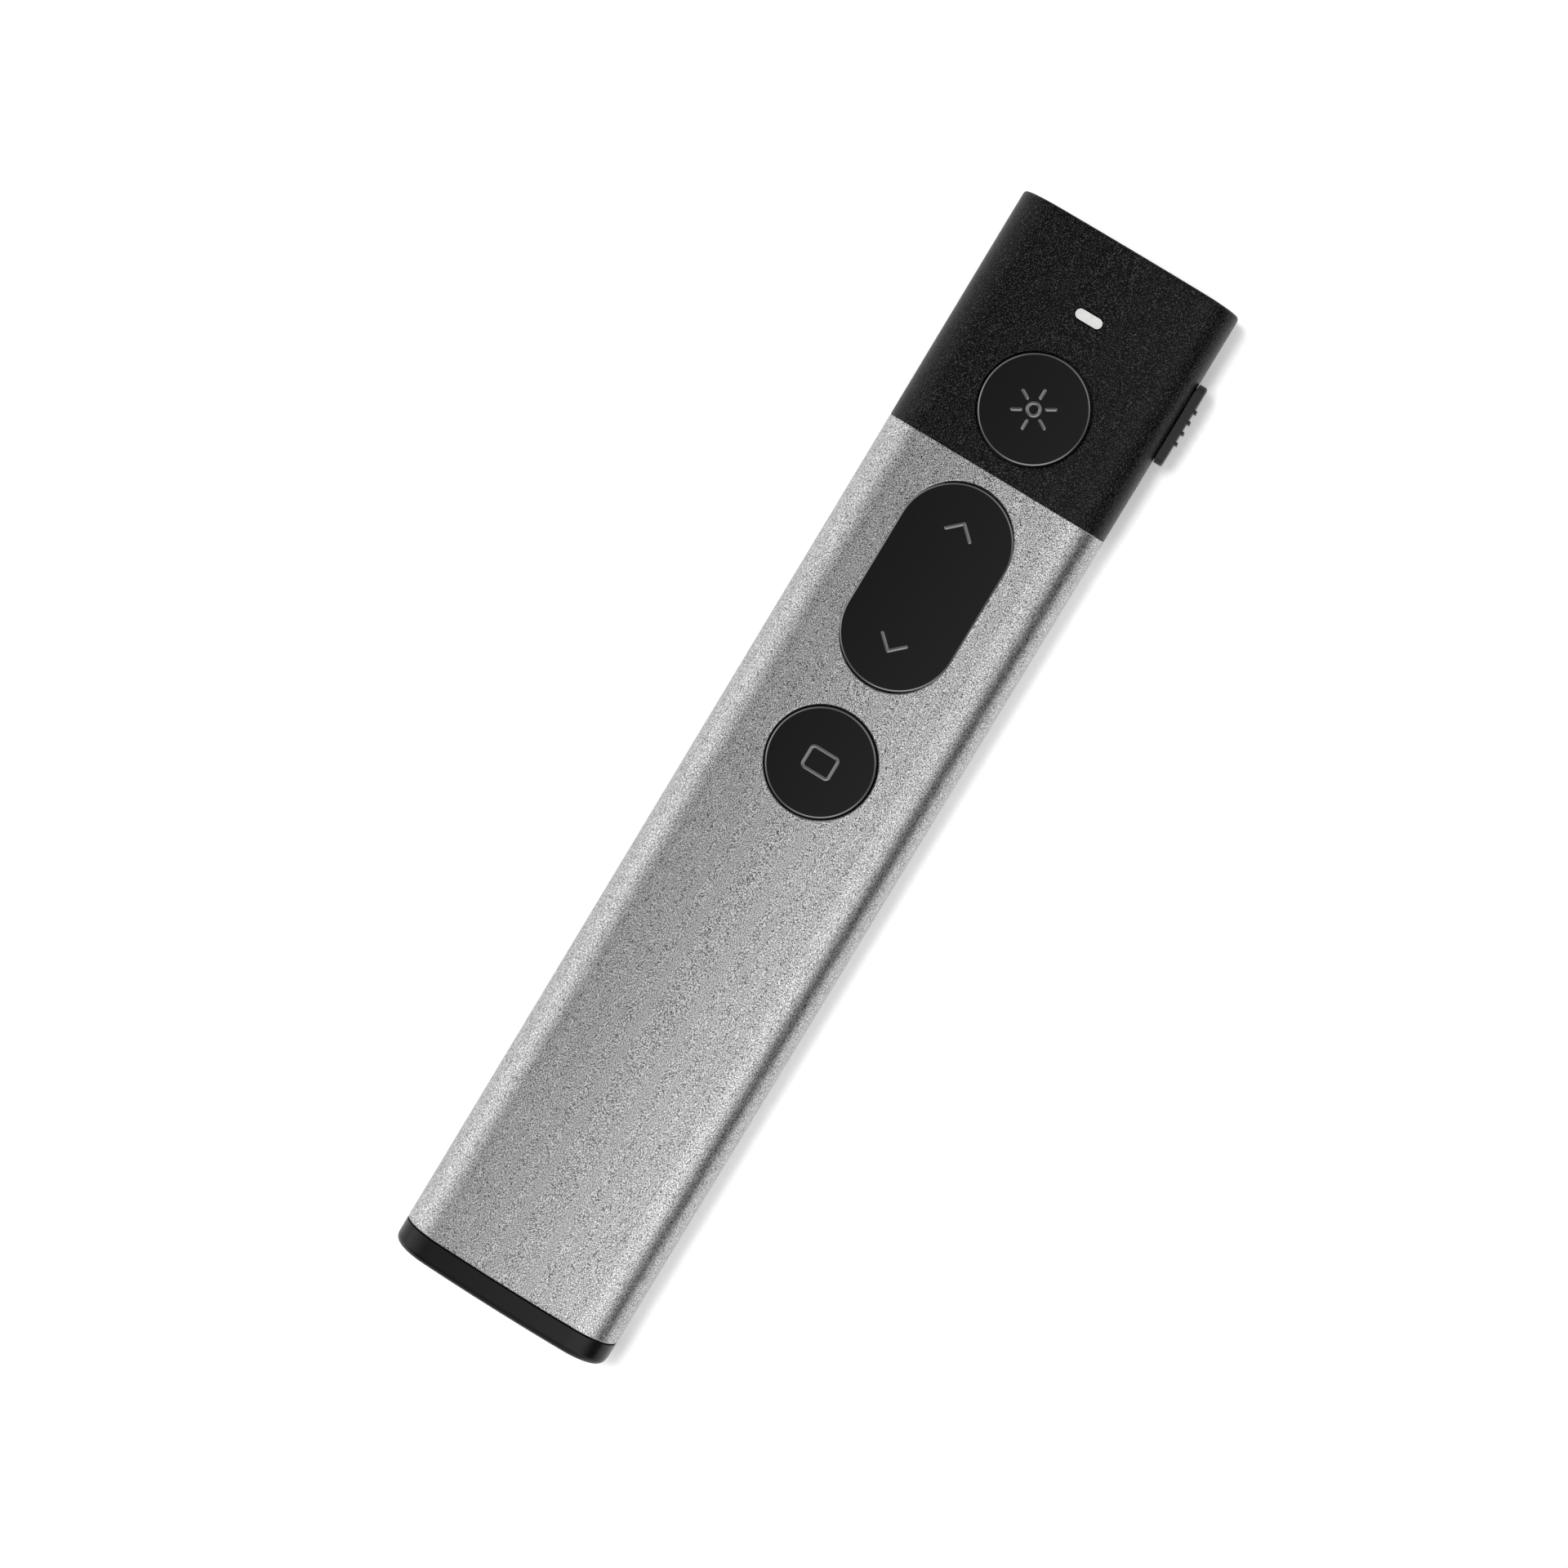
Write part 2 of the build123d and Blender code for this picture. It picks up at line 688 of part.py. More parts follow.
def battery_leads():
    """Two flat nickel leads, bent from the battery's terrace down to the board."""
    start_x = battery_front_x + battery_terrace_length
    lead_z = battery_bottom + battery_thickness / 2
    end_x = start_x + lead_run
    leads = []
    for side in (-1, 1):
        y = side * lead_spacing / 2
        route = FilletPolyline((start_x, y, lead_z), (end_x, y, lead_z), (end_x, y, board_top),
                               radius=lead_bend)
        section = across(start_x) * Pos(y, lead_z) * Rectangle(lead_width, lead_thickness)
        leads.append(sweep(section, path=route))
    return Compound(children=leads)


# ------------------------------------------------------------------ power slider
def power_knob():
    """Ribbed thumb piece that follows the side of the nose, with a hollow stem."""
    outer_y = -(body_width / 2 + knob_reach)
    face = Plane(origin=(knob_x, outer_y, knob_z), x_dir=(1, 0, 0), z_dir=(0, -1, 0))
    knob = extrude(face * RectangleRounded(knob_length, knob_height, knob_corner_radius),
                   amount=-(knob_reach + overrun))
    knob = fillet(knob.faces().sort_by(Axis.Y)[0].edges(), knob_edge_break)
    knob -= bar(nose_seam, nose_end, -slip_fit)
    for index in range(rib_count):
        x = knob_x + (index - (rib_count - 1) / 2) * rib_pitch
        knob += block(around(x, rib_width), (outer_y - rib_height, outer_y + merge),
                      around(knob_z, knob_height - 2 * knob_edge_break))
    stem_y = (outer_y + knob_reach / 2, outer_y + knob_reach + stem_depth)
    knob += block(around(knob_x, stem_length), stem_y, around(lever_z, stem_height))
    pocket_y = (stem_y[1] - stem_depth + stem_pocket_floor, stem_y[1])
    pocket = block(around(knob_x, lever_length + 2 * snug_fit), pocket_y,
                   around(lever_z, lever_height + 2 * snug_fit))
    return knob - pocket


def power_switch_lever():
    tip_y = -(body_width / 2 - lever_tip_setback)
    foot_y = switch_y + switch_wall + snug_fit
    lever = block(around(knob_x, lever_length), (tip_y, foot_y + merge), around(lever_z, lever_height))
    return lever + block(around(knob_x, lever_foot_length), (foot_y, foot_y + lever_foot_depth),
                         around(lever_z, lever_foot_height))


def power_switch_case():
    """Sheet case of the slide switch, with a slot for its lever."""
    case = block(around(switch_x, switch_length), (switch_y, switch_y + switch_depth),
                 (switch_top - switch_height, switch_top))
    wall = 2 * switch_wall
    room_z = around(lever_z, lever_foot_height + 2 * slip_fit)
    case -= block(around(switch_x, switch_length - wall),
                  (switch_y + switch_wall, switch_y + switch_depth - switch_wall), room_z)
    slot_length = lever_length + slider_travel + 2 * slip_fit
    return case - block(around(switch_x, slot_length), (switch_y - overrun, switch_y + overrun),
                        around(lever_z, lever_height + 2 * slip_fit))


# ------------------------------------------------------------------ receiver
def plug_box(start, end, shrink=0.0):
    """The plug's rectangular outline, shrunk on each side, run along X."""
    return block((start, end), around(plug_y, plug_width - 2 * shrink),
                 around(plug_z, plug_height - 2 * shrink))


def receiver_housing():
    """Tail cap with a neck that fits inside the sleeve and holds the USB plug."""
    cap = bar(tail_end, tail_seam - cap_seam)
    cap = fillet(end_rim(cap, tail_end), cap_edge_round)
    cap += bar(tail_seam - cap_seam, neck_front_x, sleeve_wall + neck_gap)
    pocket_rear = neck_front_x - plug_embed - receiver_pocket_depth
    return cap - plug_box(pocket_rear, neck_front_x, -shaft_fit)


def receiver_usb_shell():
    """Folded sheet shell of the USB-A plug, with its two latch windows on both broad sides."""
    start = neck_front_x - plug_embed
    shell = plug_box(start, plug_tip_x) - plug_box(start, plug_tip_x, plug_sheet)
    window_x = around(plug_tip_x - plug_window_from_tip, plug_window)
    for side in (-1, 1):
        y = around(plug_y + side * plug_window_spacing / 2, plug_window)
        shell -= block(window_x, y, (0, body_thickness))
    return shell


def tongue_levels():
    """Lower and upper face of the insulator tongue in the plug."""
    low = plug_z - plug_height / 2 + plug_sheet
    return (low, low + tongue_thickness)


def receiver_tongue():
    low, high = tongue_levels()
    width = plug_width - 2 * (plug_sheet + tongue_side_gap)
    x = (tongue_rear_x, plug_tip_x - tongue_setback)
    return block(x, around(plug_y, width), (low, high))


def receiver_contacts():
    """Four contact strips on the tongue."""
    high = tongue_levels()[1]
    end = plug_tip_x - contact_from_tip
    strips = []
    for index in range(contact_count):
        y = plug_y + (index - (contact_count - 1) / 2) * contact_pitch
        strips.append(block((end - contact_length, end), around(y, contact_width),
                            (high, high + contact_thickness)))
    return Compound(children=strips)


def receiver_board():
    low, high = tongue_levels()
    x = (tongue_rear_x - receiver_board_length, tongue_rear_x)
    width = plug_width - 2 * (plug_sheet + tongue_side_gap)
    return block(x, around(plug_y, width), (high - receiver_board_thickness, high))


def receiver_chip():
    high = tongue_levels()[1]
    length, width, height = receiver_chip_size
    middle = tongue_rear_x - receiver_board_length / 2
    return block(around(middle, length), around(plug_y, width), (high, high + height))


# ------------------------------------------------------------------ tail dock and charging port
def receiver_dock():
    """Bulkhead inside the sleeve's mouth with the plug's tunnel and the charging port's hole."""
    dock = bar(bulkhead_x, bulkhead_x + bulkhead_thickness, chassis_inset)
    wall = tunnel_wall
    tunnel = block((bulkhead_x, dock_front_x),
                   around(plug_y, 2 * (slot_half_width + wall)),
                   around(plug_z, 2 * (slot_half_height + wall)))
    dock += tunnel & bar(bulkhead_x, dock_front_x, chassis_inset) & layer(board_bottom, body_thickness)
    dock += tunnel & bar(bulkhead_x, dock_front_x, chassis_inset + chassis_wall + snug_fit)
    dock -= plug_box(bulkhead_x - overrun, tunnel_end_x, -plug_fit)
    return dock - port_tube(bulkhead_x - overrun, bulkhead_x + bulkhead_thickness + overrun, -slip_fit)


def port_tube(start, end, shrink=0.0):
    """The charging port's pill outline, shrunk on each side, run along X."""
    pill = SlotOverall(port_width - 2 * shrink, port_height - 2 * shrink)
    return extrude(across(start) * Pos(port_y, plug_z) * pill, amount=end - start)


def charge_port_shell():
    return port_tube(port_front_x, port_rear_x) - port_tube(port_front_x, port_rear_x, port_sheet)


def charge_port_tongue():
    """Contact tongue on the block that closes the port's rear."""
    base_x = port_rear_x - port_base_length
    base = port_tube(base_x, port_rear_x, port_sheet + shaft_fit)
    return base + block((base_x - port_tongue_length, base_x), around(port_y, port_tongue_width),
                        around(plug_z, port_tongue_thickness))


# ------------------------------------------------------------------ assembly
def all_nodes():
    """Every sub-part by its node name."""
    radio_x = rocker_x - chip_spacing / 2
    return {
        "aluminium_sleeve": aluminium_sleeve(),
        "nose_housing": nose_housing(),
        "laser_window": laser_window(),
        "laser_barrel": laser_barrel(),
        "laser_lens": laser_lens(),
        "laser_diode": laser_diode(),
        "status_led": status_led(),
        "led_light_pipe": led_light_pipe(),
        "laser_keycap": round_key(laser_key_x),
        "screen_keycap": round_key(screen_key_x),
        "page_rocker": page_rocker(),
        "laser_key_dome": key_dome(laser_key_x),
        "screen_key_dome": key_dome(screen_key_x),
        "forward_key_dome": key_dome(rocker_x + rocker_dome_offset),
        "back_key_dome": key_dome(rocker_x - rocker_dome_offset),
        "key_frame": key_frame(),
        "lower_chassis": lower_chassis(),
        "main_circuit_board": main_circuit_board(),
        "chassis_screws": chassis_screws(),
        "radio_chip": chip(radio_x, 0, radio_chip_size, on_top=False),
        "crystal_can": chip(radio_x + chip_spacing, 0, crystal_size, on_top=False),
        "charging_chip": chip(port_rear_x + chip_from_port, port_y, charging_chip_size),
        "battery_pouch": battery_pouch(),
        "battery_foam_pad": battery_foam_pad(),
        "battery_leads": battery_leads(),
        "power_knob": power_knob(),
        "power_switch_lever": power_switch_lever(),
        "power_switch_case": power_switch_case(),
        "receiver_housing": receiver_housing(),
        "receiver_usb_shell": receiver_usb_shell(),
        "receiver_tongue": receiver_tongue(),
        "receiver_contacts": receiver_contacts(),
        "receiver_board": receiver_board(),
        "receiver_chip": receiver_chip(),
        "receiver_dock": receiver_dock(),
        "charge_port_shell": charge_port_shell(),
        "charge_port_tongue": charge_port_tongue(),
    }


os.makedirs("parts", exist_ok=True)
for name, part in all_nodes().items():
    export_step(part, f"parts/{name}.step")
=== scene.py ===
import json
import math

import bpy
import numpy as np
from mathutils import Matrix, Vector


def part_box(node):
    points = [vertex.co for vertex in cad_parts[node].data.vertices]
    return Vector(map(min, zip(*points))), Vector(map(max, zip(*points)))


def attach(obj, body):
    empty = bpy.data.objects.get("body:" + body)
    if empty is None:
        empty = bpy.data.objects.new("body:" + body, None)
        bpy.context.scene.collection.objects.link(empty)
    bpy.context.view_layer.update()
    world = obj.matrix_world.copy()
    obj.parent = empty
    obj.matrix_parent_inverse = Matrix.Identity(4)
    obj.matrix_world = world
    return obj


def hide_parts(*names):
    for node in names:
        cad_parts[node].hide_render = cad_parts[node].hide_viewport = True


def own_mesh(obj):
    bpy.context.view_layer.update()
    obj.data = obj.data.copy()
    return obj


# Looks of a slim presentation clicker: bead-blasted aluminium sleeve, spark-eroded black nose,
# satin keys with raised signs, milky status lens, ribbed side slider and a glossy tail cap.
# Metres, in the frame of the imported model: +X to the nose, +Z up out of the keys, slider on -Y.

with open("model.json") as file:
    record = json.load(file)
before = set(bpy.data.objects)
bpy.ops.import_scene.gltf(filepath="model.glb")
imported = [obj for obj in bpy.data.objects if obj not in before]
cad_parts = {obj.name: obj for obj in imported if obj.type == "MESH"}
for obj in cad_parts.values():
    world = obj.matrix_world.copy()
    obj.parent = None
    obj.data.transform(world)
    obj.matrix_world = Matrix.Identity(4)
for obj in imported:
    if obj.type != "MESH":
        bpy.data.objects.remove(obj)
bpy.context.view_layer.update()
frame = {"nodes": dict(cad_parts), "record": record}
nodes = frame["nodes"]
mm = 0.001

# ------------------------------------------------------------------ sizes
body_thickness = 11.0 * mm
crown_radius = 90.0 * mm
key_proud = 0.3 * mm
key_edge_slope = 34
key_edge_width = 0.13 * mm
key_edge_round = 0.11 * mm
key_edge_shares = (0.0, 0.1, 0.5, 0.9)
key_edge_turns = (50, 70, 90)
key_segments = 384
key_skirt_wall = 0.9 * mm
key_skirt_bottom = 8.85 * mm
key_plate = 1.6 * mm
key_merge = 0.2 * mm
edge_break = 0.08 * mm
key_flush = 0.005 * mm
sharp_angle = 50
ring_step = 0.045 * mm

sign_height = 0.11 * mm
sign_half_width = 0.20 * mm
sign_top_half_width = 0.035 * mm
sign_polish = 0.26
rim_polish = 0.8
sign_polish_gain = 3
rim_depth = 2 * key_edge_width
sun_radius = 0.68 * mm
sun_ray_start = 1.4 * mm
sun_ray_end = 2.34 * mm
sun_rays = 6
chevron_apex = 7.97 * mm
chevron_depth = 1.40 * mm
chevron_half_span = 1.50 * mm
frame_icon_half = (1.28 * mm, 1.64 * mm)
frame_icon_corner = 0.42 * mm

# Under the keys: bosses over the domes, barbed legs, and the rocker's trunnions
boss_radius = 1.7 * mm
boss_bottom = 7.6 * mm
rocker_boss_offset = 8.075 * mm
leg_half_width = 1.2 * mm
leg_inside = 4.2 * mm
leg_outside = 5.0 * mm
leg_bottom = 6.85 * mm
barb_outside = 5.4 * mm
barb_height = 0.5 * mm
rocker_leg_bottom = 6.5 * mm
trunnion_radius = 0.6 * mm
trunnion_level = 7.5 * mm
trunnion_end = 6.5 * mm
pin_segments = 32

# Rubber domes: radius and height above the foot in millimetres, outside from the foot up and inside down
dome_outside = [(2.95, 0.0), (3.0, 0.06), (3.0, 0.24), (2.94, 0.3), (2.56, 0.3), (2.47, 0.36), (1.85, 1.56),
                (1.78, 1.68), (1.66, 1.77), (1.5, 1.8)]
dome_inside = [(0.9, 1.8), (0.8, 1.74), (0.3, 1.74)]
dome_hollow = [(0.3, 0.9), (1.1, 0.9), (1.25, 0.84), (1.34, 0.72), (2.02, 0.06), (2.08, 0.0)]
dome_segments = 72

# Camera, as seen from the object: three turns, then the place of the origin before the lens
picture_turn = 58.53
tilt_x = -4.18
tilt_y = -4.58
origin_in_view = (3.583 * mm, 0.179 * mm, -449.911 * mm)
lens_length = 93.2
sensor_width = 36.0

# Light: the studio's radiance at directions from -1 (slider side) over 0 (overhead) to 1 (+Y side):
# a dark foot, a wide panel over the slider side, a dim ceiling and a pale wall
studio_light = [(-0.95, 0.0), (-0.80, 0.9), (-0.30, 0.9), (0.30, 0.3), (0.55, 0.3), (1.00, 1.0)]

# How that light changes from -1 (beyond the tail) to 1 (beyond the nose): strongest over the tail
tail_light = [(-0.60, 0.8), (-0.40, 1.6), (-0.20, 1.5), (0.15, 0.75)]
paper_far = 1.5
paper_near = 0.05
paper_color = 0.90
paper_to_camera = 1.3
paper_to_gloss = 0.8

floor_drop = 0.02 * mm

# A lamp's place is its zenith angle and azimuth in degrees and its distance in metres
shadow_lamp_place = (15, 70, 1.0)
shadow_lamp_size = (0.28, 0.28)
shadow_lamp_radiance = 21.0
key_lamp_place = (66, 202, 0.8)
key_lamp_size = (0.80, 0.28)
key_lamp_radiance = 0.9

# Noise values mostly lie within this span
noise_span = (0.3, 0.7)


# ------------------------------------------------------------------ camera, lamps and floor
def add_camera():
    turn = (Matrix.Rotation(math.radians(picture_turn), 4, "Z")
            @ Matrix.Rotation(math.radians(tilt_x), 4, "X")
            @ Matrix.Rotation(math.radians(tilt_y), 4, "Y"))
    data = bpy.data.cameras.new("camera")
    data.lens = lens_length
    data.sensor_width = sensor_width
    data.clip_start = 0.01
    camera = bpy.data.objects.new("camera", data)
    camera.matrix_world = (Matrix.Translation(origin_in_view) @ turn).inverted()
    bpy.context.scene.collection.objects.link(camera)
    bpy.context.scene.camera = camera


def add_softbox(name, zenith, azimuth, distance, size, radiance):
    """Panel aimed at the origin, as bright as its radiance. Azimuth 0 is over +X and 90 over +Y."""
    data = bpy.data.lights.new(name, "AREA")
    data.shape = "RECTANGLE"
    data.size, data.size_y = size
    data.energy = radiance * math.pi * size[0] * size[1]
    lamp = bpy.data.objects.new(name, data)
    z, a = math.radians(zenith), math.radians(azimuth)
    way = Vector((math.sin(z) * math.cos(a), math.sin(z) * math.sin(a), math.cos(z)))
    lamp.location = way * distance
    lamp.rotation_mode = "QUATERNION"
    lamp.rotation_quaternion = way.to_track_quat("Z", "Y")
    bpy.context.scene.collection.objects.link(lamp)
    return lamp


def light_only(lamp, pieces):
    """Makes a lamp a reflection on the given pieces and nowhere else."""
    lamp.visible_diffuse = False
    lamp.visible_camera = False
    lit = bpy.data.collections.new(lamp.name + "_receivers")
    for piece in pieces:
        lit.objects.link(piece)
    lamp.light_linking.receiver_collection = lit


def light_ramp(tree, place, stops):
    """Radiance by a place between -1 and 1, from a list of (place, radiance)."""
    peak = max(light for share, light in stops)
    ramp = tree.nodes.new("ShaderNodeValToRGB")
    elements = ramp.color_ramp.elements
    while len(elements) < len(stops):
        elements.new(1.0)
    for element, (share, light) in zip(elements, stops):
        element.position = (share + 1) / 2
        element.color = (*grey(light / peak), 1)
    tree.links.new(math_node(tree, "MULTIPLY_ADD", place, 0.5, 0.5), ramp.inputs["Fac"])
    return math_node(tree, "MULTIPLY", ramp.outputs["Color"], peak)


def set_world():
    """Lights the scene by the two lists of radiance. The camera itself sees plain white."""
    world = bpy.data.worlds.new("studio")
    bpy.context.scene.world = world
    world.use_nodes = True
    tree = world.node_tree
    way = tree.nodes.new("ShaderNodeTexCoord")
    split = tree.nodes.new("ShaderNodeSeparateXYZ")
    tree.links.new(way.outputs["Generated"], split.inputs[0])
    across = light_ramp(tree, split.outputs["Y"], studio_light)
    along = light_ramp(tree, split.outputs["X"], tail_light)
    shown = math_node(tree, "MULTIPLY", across, along)
    background = tree.nodes["Background"]
    background.inputs["Color"].default_value = (1, 1, 1, 1)
    to_camera = tree.nodes.new("ShaderNodeLightPath").outputs["Is Camera Ray"]
    white = tree.nodes.new("ShaderNodeBackground")
    both = tree.nodes.new("ShaderNodeMixShader")
    tree.links.new(shown, background.inputs["Strength"])
    tree.links.new(to_camera, both.inputs["Fac"])
    tree.links.new(background.outputs[0], both.inputs[1])
    tree.links.new(white.outputs[0], both.inputs[2])
    white.inputs["Color"].default_value = (1, 1, 1, 1)
    tree.links.new(both.outputs[0], tree.nodes["World Output"].inputs["Surface"])


def add_floor():
    """White paper floor: the camera sees it over-exposed outside the shadow, as mirrors and glass do."""
    mesh = bpy.data.meshes.new("floor")
    corners = [(x, y, 0) for x, y in ((-paper_far, -paper_near), (paper_far, -paper_near),
                                      (paper_far, paper_far), (-paper_far, paper_far))]
    mesh.from_pydata(corners, [], [(0, 1, 2, 3)])
    floor = bpy.data.objects.new("floor", mesh)
    floor.location.z = -floor_drop
    bpy.context.scene.collection.objects.link(floor)
    surface = bpy.data.materials.new("white_paper")
    surface.use_nodes = True
    tree = surface.node_tree
    tree.nodes.clear()
    out = tree.nodes.new("ShaderNodeOutputMaterial")
    paper = tree.nodes.new("ShaderNodeBsdfDiffuse")
    path = tree.nodes.new("ShaderNodeLightPath")
    gloss = math_node(tree, "MAXIMUM", path.outputs["Is Glossy Ray"], path.outputs["Is Transmission Ray"])
    seen = math_node(tree, "MULTIPLY", path.outputs["Is Camera Ray"], paper_to_camera - paper_color)
    seen = math_node(tree, "MULTIPLY_ADD", gloss, paper_to_gloss - paper_color, seen)
    tree.links.new(math_node(tree, "ADD", seen, paper_color), paper.inputs["Color"])
    tree.links.new(paper.outputs[0], out.inputs["Surface"])
    mesh.materials.append(surface)


# ------------------------------------------------------------------ node and material helpers
def math_node(tree, operation, *values):
    """Math node fed with numbers or sockets."""
    node = tree.nodes.new("ShaderNodeMath")
    node.operation = operation
    for socket, value in zip(node.inputs, values):
        if isinstance(value, (int, float)):
            socket.default_value = value
        else:
            tree.links.new(value, socket)
    return node.outputs[0]


def new_material(name, color, roughness, metallic=0.0, **sockets):
    """Principled material with its constant values set on the shader's own sockets."""
    made = bpy.data.materials.new(name)
    made.use_nodes = True
    shader = made.node_tree.nodes["Principled BSDF"]
    shader.inputs["Base Color"].default_value = (*color, 1)
    shader.inputs["Roughness"].default_value = roughness
    shader.inputs["Metallic"].default_value = metallic
    for socket, value in sockets.items():
        shader.inputs[socket.replace("_", " ")].default_value = value
    return made


def noise(made, size, detail=2.0, stretch=(1, 1, 1)):
    """Noise value with features of about the given size, in the object's own space."""
    tree = made.node_tree
    place = tree.nodes.new("ShaderNodeTexCoord")
    spread = tree.nodes.new("ShaderNodeMapping")
    spread.inputs["Scale"].default_value = stretch
    tree.links.new(place.outputs["Object"], spread.inputs["Vector"])
    texture = tree.nodes.new("ShaderNodeTexNoise")
    texture.inputs["Scale"].default_value = 1 / size
    texture.inputs["Detail"].default_value = detail
    tree.links.new(spread.outputs["Vector"], texture.inputs["Vector"])
    return texture.outputs["Fac"]


def map_range(tree, value, source, target):
    """Maps a value smoothly from one (low, high) range to another."""
    node = tree.nodes.new("ShaderNodeMapRange")
    node.interpolation_type = "SMOOTHSTEP"
    node.inputs["From Min"].default_value = source[0]
    node.inputs["From Max"].default_value = source[1]
    node.inputs["To Min"].default_value = target[0]
    node.inputs["To Max"].default_value = target[1]
    tree.links.new(value, node.inputs["Value"])
    return node.outputs["Result"]


def bump(made, layers):
    """Stacks bump layers of (height value, distance, strength) under the shader."""
    tree = made.node_tree
    normal = None
    for height, distance, strength in layers:
        node = tree.nodes.new("ShaderNodeBump")
        node.inputs["Distance"].default_value = distance
        node.inputs["Strength"].default_value = strength
        tree.links.new(height, node.inputs["Height"])
        if normal:
            tree.links.new(normal, node.inputs["Normal"])
        normal = node.outputs["Normal"]
    tree.links.new(normal, tree.nodes["Principled BSDF"].inputs["Normal"])


def vary_roughness(made, value, low, high):
    tree = made.node_tree
    mapped = map_range(tree, value, noise_span, (low, high))
    tree.links.new(mapped, tree.nodes["Principled BSDF"].inputs["Roughness"])


def vary_color(made, value, dark, light, span=noise_span):
    """Blends between two colours by a noise value."""
    tree = made.node_tree
    node = tree.nodes.new("ShaderNodeMix")
    node.data_type = "RGBA"
    tree.links.new(map_range(tree, value, span, (0.0, 1.0)), node.inputs["Factor"])
    colors = [s for s in node.inputs if s.type == "RGBA"]
    colors[0].default_value = (*dark, 1)
    colors[1].default_value = (*light, 1)
    mixed = [s for s in node.outputs if s.type == "RGBA"][0]
    tree.links.new(mixed, tree.nodes["Principled BSDF"].inputs["Base Color"])


def grey(value):
    return (value, value, value)


# ------------------------------------------------------------------ materials
def soft_edges(made, radius):
    """Rounds the shading over sharp edges, under the bump layers that are already there."""
    tree = made.node_tree
    bevel = tree.nodes.new("ShaderNodeBevel")
    bevel.samples = 6
    bevel.inputs["Radius"].default_value = radius
    for node in [n for n in tree.nodes if n.type == "BUMP" and not n.inputs["Normal"].links]:
        tree.links.new(bevel.outputs["Normal"], node.inputs["Normal"])


def painted_glint_specks(made, size, span):
    """Sparse bright grains painted into a colour at the peaks of a fine noise: painted glints."""
    grains = noise(made, size, 0.0)
    return map_range(made.node_tree, grains, span, (0.0, 1.0))


def blasted_aluminium():
    """Clear anodised aluminium, blasted with fine beads. Its bumps glint, and the fine noise also paints
    bright and dark specks into its colour as painted glints.
    """
    made = new_material("blasted_aluminium", (0.65, 0.65, 0.66), 0.30, 1.0)
    fine = noise(made, 0.085 * mm, 0.0)
    coarse = noise(made, 0.35 * mm, 1.0)
    # Specks from near black to white in the colour: painted glints, on top of the bumps' real ones
    vary_color(made, fine, (0.08, 0.08, 0.082), (1.0, 1.0, 1.0), (0.38, 0.60))
    vary_roughness(made, coarse, 0.30, 0.35)
    bump(made, [(coarse, 0.010 * mm, 0.6), (fine, 0.016 * mm, 0.9)])
    soft_edges(made, 0.20 * mm)
    return made


def eroded_black():
    """Black moulding with a spark-eroded texture. Its bumps glint, and sparse bright specks in its colour
    are painted glints.
    """
    made = new_material("eroded_black", grey(0.002), 0.30, Specular_IOR_Level=0.18)
    fine = noise(made, 0.13 * mm, 0.0)
    coarse = noise(made, 0.35 * mm, 1.0)
    # Sparse bright specks in the colour: painted glints, besides the real glints of the bumps
    vary_color(made, painted_glint_specks(made, 0.12 * mm, (0.50, 0.80)), grey(0.0), grey(0.050), (0.0, 1.0))
    vary_roughness(made, fine, 0.26, 0.36)
    bump(made, [(coarse, 0.030 * mm, 0.8), (fine, 0.036 * mm, 1.0)])
    soft_edges(made, 0.20 * mm)
    return made


def satin_key():
    """Satin black, with the raised signs and the rim polished to a brighter gloss."""
    made = new_material("satin_key", grey(0.002), 0.28, Specular_IOR_Level=0.25)
    haze = noise(made, 1.6 * mm, 3.0)
    grain = noise(made, 0.12 * mm, 1.0)
    tree = made.node_tree
    polish = tree.nodes.new("ShaderNodeAttribute")
    polish.attribute_name = "polish"
    vary_color(made, polish.outputs["Fac"], grey(0.002), grey(sign_polish), (0.0, 1.0))
    tree.links.new(polish.outputs["Fac"], tree.nodes["Principled BSDF"].inputs["Metallic"])
    vary_roughness(made, haze, 0.27, 0.31)
    bump(made, [(haze, 0.005 * mm, 0.4), (grain, 0.003 * mm, 0.5)])
    return made


def gloss_cap():
    made = new_material("gloss_cap", grey(0.003), 0.24, Specular_IOR_Level=0.29)
    haze = noise(made, 2.4 * mm, 3.0)
    vary_roughness(made, haze, 0.20, 0.29)
    bump(made, [(haze, 0.004 * mm, 0.3)])
    soft_edges(made, 0.10 * mm)
    return made


def slider_black():
    made = new_material("slider_black", grey(0.012), 0.38)
    grain = noise(made, 0.2 * mm, 2.0)
    vary_roughness(made, grain, 0.32, 0.44)
    bump(made, [(grain, 0.004 * mm, 0.5)])
    return made


def milky_lens():
    made = new_material("milky_lens", (0.66, 0.66, 0.655), 0.30)
    cloud = noise(made, 0.8 * mm, 2.0)
    vary_color(made, cloud, (0.62, 0.62, 0.615), (0.70, 0.70, 0.695))
    return made


def tinted_glass(name, color, roughness=0.03):
    made = new_material(name, color, roughness, Transmission_Weight=1.0, IOR=1.5)
    haze = noise(made, 1.5 * mm, 2.0)
    vary_roughness(made, haze, roughness, roughness * 1.8)
    return made


def plain_metal(name, color, low, high, stretch=(1, 1, 1)):
    made = new_material(name, color, (low + high) / 2, 1.0)
    brushed = noise(made, 0.3 * mm, 3.0, stretch)
    vary_roughness(made, brushed, low, high)
    bump(made, [(brushed, 0.003 * mm, 0.5)])
    return made


def inner_moulding():
    made = new_material("inner_moulding", grey(0.045), 0.5)
    grain = noise(made, 0.25 * mm, 2.0)
    vary_color(made, grain, grey(0.038), grey(0.055))
    bump(made, [(grain, 0.010 * mm, 0.5)])
    return made


